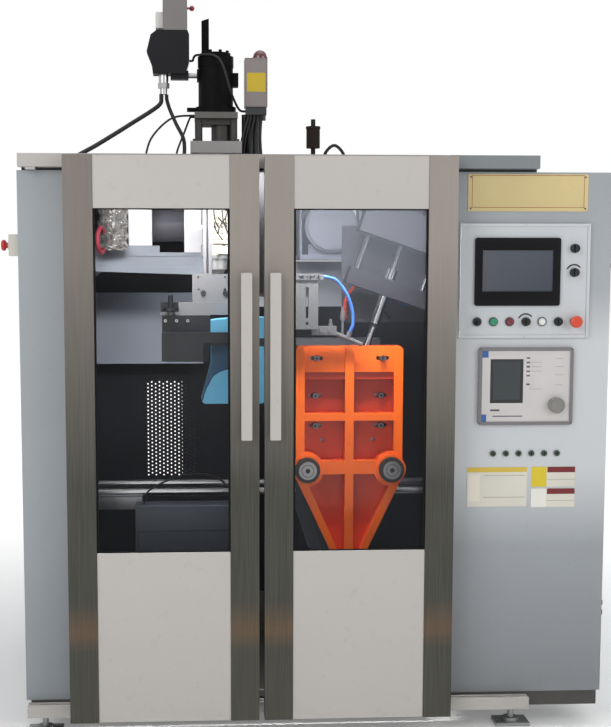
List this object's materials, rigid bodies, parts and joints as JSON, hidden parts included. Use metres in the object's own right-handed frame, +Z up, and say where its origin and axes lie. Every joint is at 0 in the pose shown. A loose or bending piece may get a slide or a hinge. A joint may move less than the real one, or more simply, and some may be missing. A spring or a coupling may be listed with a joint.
{
  "type": "blow moulding machine",
  "caption": "Blow moulding machine in a floor-standing housing with glazed sliding doors, a control cabinet, a shuttle clamping unit, an inclined blow pin and a rear extruder.",
  "frame": {"origin": "centre of the footprint at floor level", "axes": "+Z up, +X to the right when facing the doors, +Y from the doors into the machine"},
  "size_m": [1.921, 2.049, 2.402],
  "materials": {
    "frame_paint": "satin dark grey paint",
    "foot_steel": "zinc plated, dull",
    "track_paint": "satin light grey paint",
    "cover_paint": "satin blue-grey paint",
    "side_paint": "satin blue-grey paint",
    "panel_paint": "satin light grey paint",
    "screen_plastic": "dark plastic bezel and screen",
    "bezel_plastic": "grey-brown plastic bezel",
    "socket_plastic": "dark green plastic",
    "plate_metal": "worn brass coloured plate",
    "roof_paint": "satin light grey paint",
    "box_plastic": "pale plastic box",
    "head_steel": "machined steel",
    "heater_cover": "cream enamelled bands",
    "plate_steel": "ground steel plates",
    "actuator_black": "black gloss paint",
    "manifold_black": "dark anodised block",
    "valve_grey": "light grey cast cap",
    "box_grey": "grey-white paint",
    "lamp_red": "dark red lens",
    "silencer_brown": "brown sintered silencer",
    "hose_black": "black rubber hoses",
    "barrel_steel": "steel barrel and cover",
    "hopper_steel": "brushed sheet steel",
    "gear_paint": "blue-grey machine paint",
    "motor_paint": "grey motor paint",
    "support_paint": "blue-grey paint",
    "drum_paint": "dark paint, foil and red ring",
    "rail_chrome": "hard chromed rails",
    "chest_paint": "slate paint",
    "blow_paint": "dark grey paint",
    "hose_colour": "blue and red air hoses",
    "takeout_metal": "anodised plates",
    "container_plastic": "light blue plastic",
    "stile_steel": "brushed stainless steel",
    "door_paint": "warm light grey paint",
    "window_pane": "clear plastic pane",
    "carriage_paint": "dark blue-grey paint",
    "orange_paint": "bright orange paint",
    "bar_chrome": "hard chromed bars",
    "mould_metal": "machined aluminium",
    "pin_chrome": "chromed pin and rods",
    "switch_black": "black plastic",
    "button_green": "green plastic",
    "button_red": "dark red plastic",
    "stop_red": "orange-red plastic",
    "knob_grey": "grey metal-look knob"
  },
  "bodies": {
    "machine": {"machine_frame": "frame_paint", "levelling_feet": "foot_steel", "door_tracks": "track_paint", "left_front_panel": "cover_paint", "control_cabinet": "cover_paint", "operator_panel": "panel_paint", "touch_screen": "screen_plastic", "parison_controller": "bezel_plastic", "signal_sockets": "socket_plastic", "bare_plates": "plate_metal", "roof_panel": "roof_paint", "rear_panels": "cover_paint", "estop_box": "box_plastic", "die_head": "head_steel", "heater_bands": "heater_cover", "head_mount": "plate_steel", "parison_actuator": "actuator_black", "valve_manifold": "manifold_black", "servo_valve": "valve_grey", "terminal_box": "box_grey", "alarm_lamp": "lamp_red", "exhaust_silencer": "silencer_brown", "top_hoses": "hose_black", "extruder_barrel": "barrel_steel", "hopper": "hopper_steel", "extruder_gearbox": "gear_paint", "extruder_motor": "motor_paint", "head_support": "support_paint", "drum_and_duct": "drum_paint", "carriage_rails": "rail_chrome", "valve_chest": "chest_paint", "blow_frame": "blow_paint", "air_hoses": "hose_colour", "takeout_unit": "takeout_metal", "moulded_container": "container_plastic"},
    "left_door": {"left_door_frame": "stile_steel", "left_door_panels": "door_paint", "left_door_window": "window_pane"},
    "right_door": {"right_door_frame": "stile_steel", "right_door_panels": "door_paint", "right_door_window": "window_pane"},
    "side_door": {"left_side_door": "side_paint"},
    "cabinet_door": {"cabinet_side_door": "side_paint"},
    "carriage": {"carriage_frame": "carriage_paint"},
    "clamp_front": {"front_platen": "orange_paint", "tie_bars": "bar_chrome", "mould_front": "mould_metal"},
    "clamp_rear": {"middle_platen": "orange_paint", "mould_rear": "mould_metal"},
    "blow_unit": {"blow_pin": "pin_chrome"},
    "key": {"key_switch": "switch_black"},
    "green_push": {"green_button": "button_green"},
    "red_push": {"red_button": "button_red"},
    "speed_dial": {"speed_knob": "switch_black"},
    "mode_switch": {"mode_selector": "switch_black"},
    "panel_stop": {"panel_estop": "stop_red"},
    "upper_switch": {"upper_selector": "switch_black"},
    "lower_dial": {"lower_knob": "switch_black"},
    "controller_dial": {"controller_knob": "knob_grey"},
    "side_stop": {"left_estop": "stop_red"}
  },
  "joints": [
    {"name": "left_door_slide", "type": "slide", "parent": "machine", "child": "left_door", "axis": [-1, 0, 0], "range_m": [0, 0.33]},
    {"name": "right_door_slide", "type": "slide", "parent": "machine", "child": "right_door", "axis": [1, 0, 0], "range_m": [0, 0.33]},
    {"name": "side_door_hinge", "type": "hinge", "parent": "machine", "child": "side_door", "pos_m": [-0.9125, -0.7825, 0.9], "axis": [0, 0, 1], "range_deg": [0, 90]},
    {"name": "cabinet_door_hinge", "type": "hinge", "parent": "machine", "child": "cabinet_door", "pos_m": [0.9555, -0.8475, 0.9], "axis": [0, 0, -1], "range_deg": [0, 110]},
    {"name": "carriage_slide", "type": "slide", "parent": "machine", "child": "carriage", "axis": [-1, 0, 0], "range_m": [0, 0.437]},
    {"name": "clamp_front_slide", "type": "slide", "parent": "carriage", "child": "clamp_front", "axis": [0, 1, 0], "range_m": [0, 0.1097]},
    {"name": "clamp_rear_slide", "type": "slide", "parent": "carriage", "child": "clamp_rear", "axis": [0, -1, 0], "range_m": [0, 0.1097]},
    {"name": "blow_pin_slide", "type": "slide", "parent": "machine", "child": "blow_unit", "axis": [-0.3256, 0, -0.9455], "range_m": [0, 0.095]},
    {"name": "key_turn", "type": "hinge", "parent": "machine", "child": "key", "pos_m": [0.5215, -0.9085, 1.317], "axis": [0, -1, 0], "range_deg": [-90, 0]},
    {"name": "green_push_slide", "type": "slide", "parent": "machine", "child": "green_push", "axis": [0, 1, 0], "range_m": [0, 0.003], "stiffness_N_per_m": 600},
    {"name": "red_push_slide", "type": "slide", "parent": "machine", "child": "red_push", "axis": [0, 1, 0], "range_m": [0, 0.003], "stiffness_N_per_m": 600},
    {"name": "speed_dial_turn", "type": "hinge", "parent": "machine", "child": "speed_dial", "pos_m": [0.6766, -0.9085, 1.317], "axis": [0, -1, 0], "range_deg": [-135, 135]},
    {"name": "mode_switch_turn", "type": "hinge", "parent": "machine", "child": "mode_switch", "pos_m": [0.78, -0.9085, 1.317], "axis": [0, -1, 0], "range_deg": [-45, 45]},
    {"name": "panel_stop_slide", "type": "slide", "parent": "machine", "child": "panel_stop", "axis": [0, 1, 0], "range_m": [0, 0.002]},
    {"name": "upper_switch_turn", "type": "hinge", "parent": "machine", "child": "upper_switch", "pos_m": [0.8275, -0.9085, 1.546], "axis": [0, -1, 0], "range_deg": [-45, 45]},
    {"name": "lower_dial_turn", "type": "hinge", "parent": "machine", "child": "lower_dial", "pos_m": [0.8275, -0.9085, 1.471], "axis": [0, -1, 0], "range_deg": [-135, 135]},
    {"name": "controller_dial_turn", "type": "hinge", "parent": "machine", "child": "controller_dial", "pos_m": [0.7785, -0.9105, 1.053], "axis": [0, -1, 0], "range_deg": [-140, 140]},
    {"name": "side_stop_slide", "type": "slide", "parent": "machine", "child": "side_stop", "axis": [1, 0, 0], "range_m": [0, 0.004]}
  ],
  "couplings": [
    {"joint": "clamp_rear_slide", "follows": "clamp_front_slide", "ratio": 1}
  ]
}
